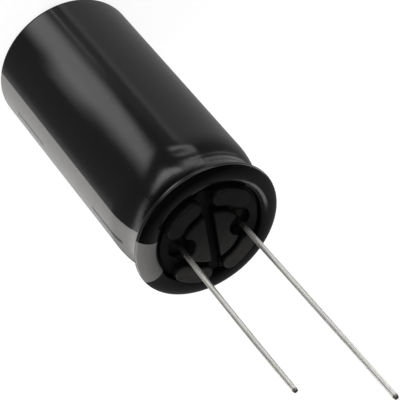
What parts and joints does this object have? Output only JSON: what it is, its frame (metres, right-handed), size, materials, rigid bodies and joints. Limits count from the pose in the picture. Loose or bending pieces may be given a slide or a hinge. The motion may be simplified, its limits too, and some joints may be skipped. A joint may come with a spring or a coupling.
{
  "type": "electrolytic capacitor",
  "caption": "Radial through-hole electrolytic capacitor: sleeved round can with a polarity stripe, rubber bung and wire leads of unequal length.",
  "frame": {"origin": "centre of the closed end, on the plane that the sleeve stands on", "axes": "+Z from the closed end towards the leads, +X from the negative lead (stripe side) to the positive lead"},
  "size_m": [0.0184, 0.0184, 0.0686],
  "materials": {
    "sleeve_film": "glossy black heat-shrink film",
    "stripe_ink": "grey ink printed on glossy film",
    "can_aluminium": "deep-drawn, satin",
    "bung_rubber": "moulded, fine matt",
    "terminal_aluminium": "swaged, dull",
    "tinned_wire": "bright drawn tin plate",
    "roll_paper": "wet separator paper and etched foil",
    "tape_film": "adhesive film tape"
  },
  "bodies": {
    "root": {"sleeve": "sleeve_film", "polarity_stripe": "stripe_ink", "can": "can_aluminium", "bung": "bung_rubber", "positive_terminal": "terminal_aluminium", "negative_terminal": "terminal_aluminium", "positive_lead": "tinned_wire", "negative_lead": "tinned_wire", "wound_element": "roll_paper", "closing_tape": "tape_film"}
  },
  "joints": []
}
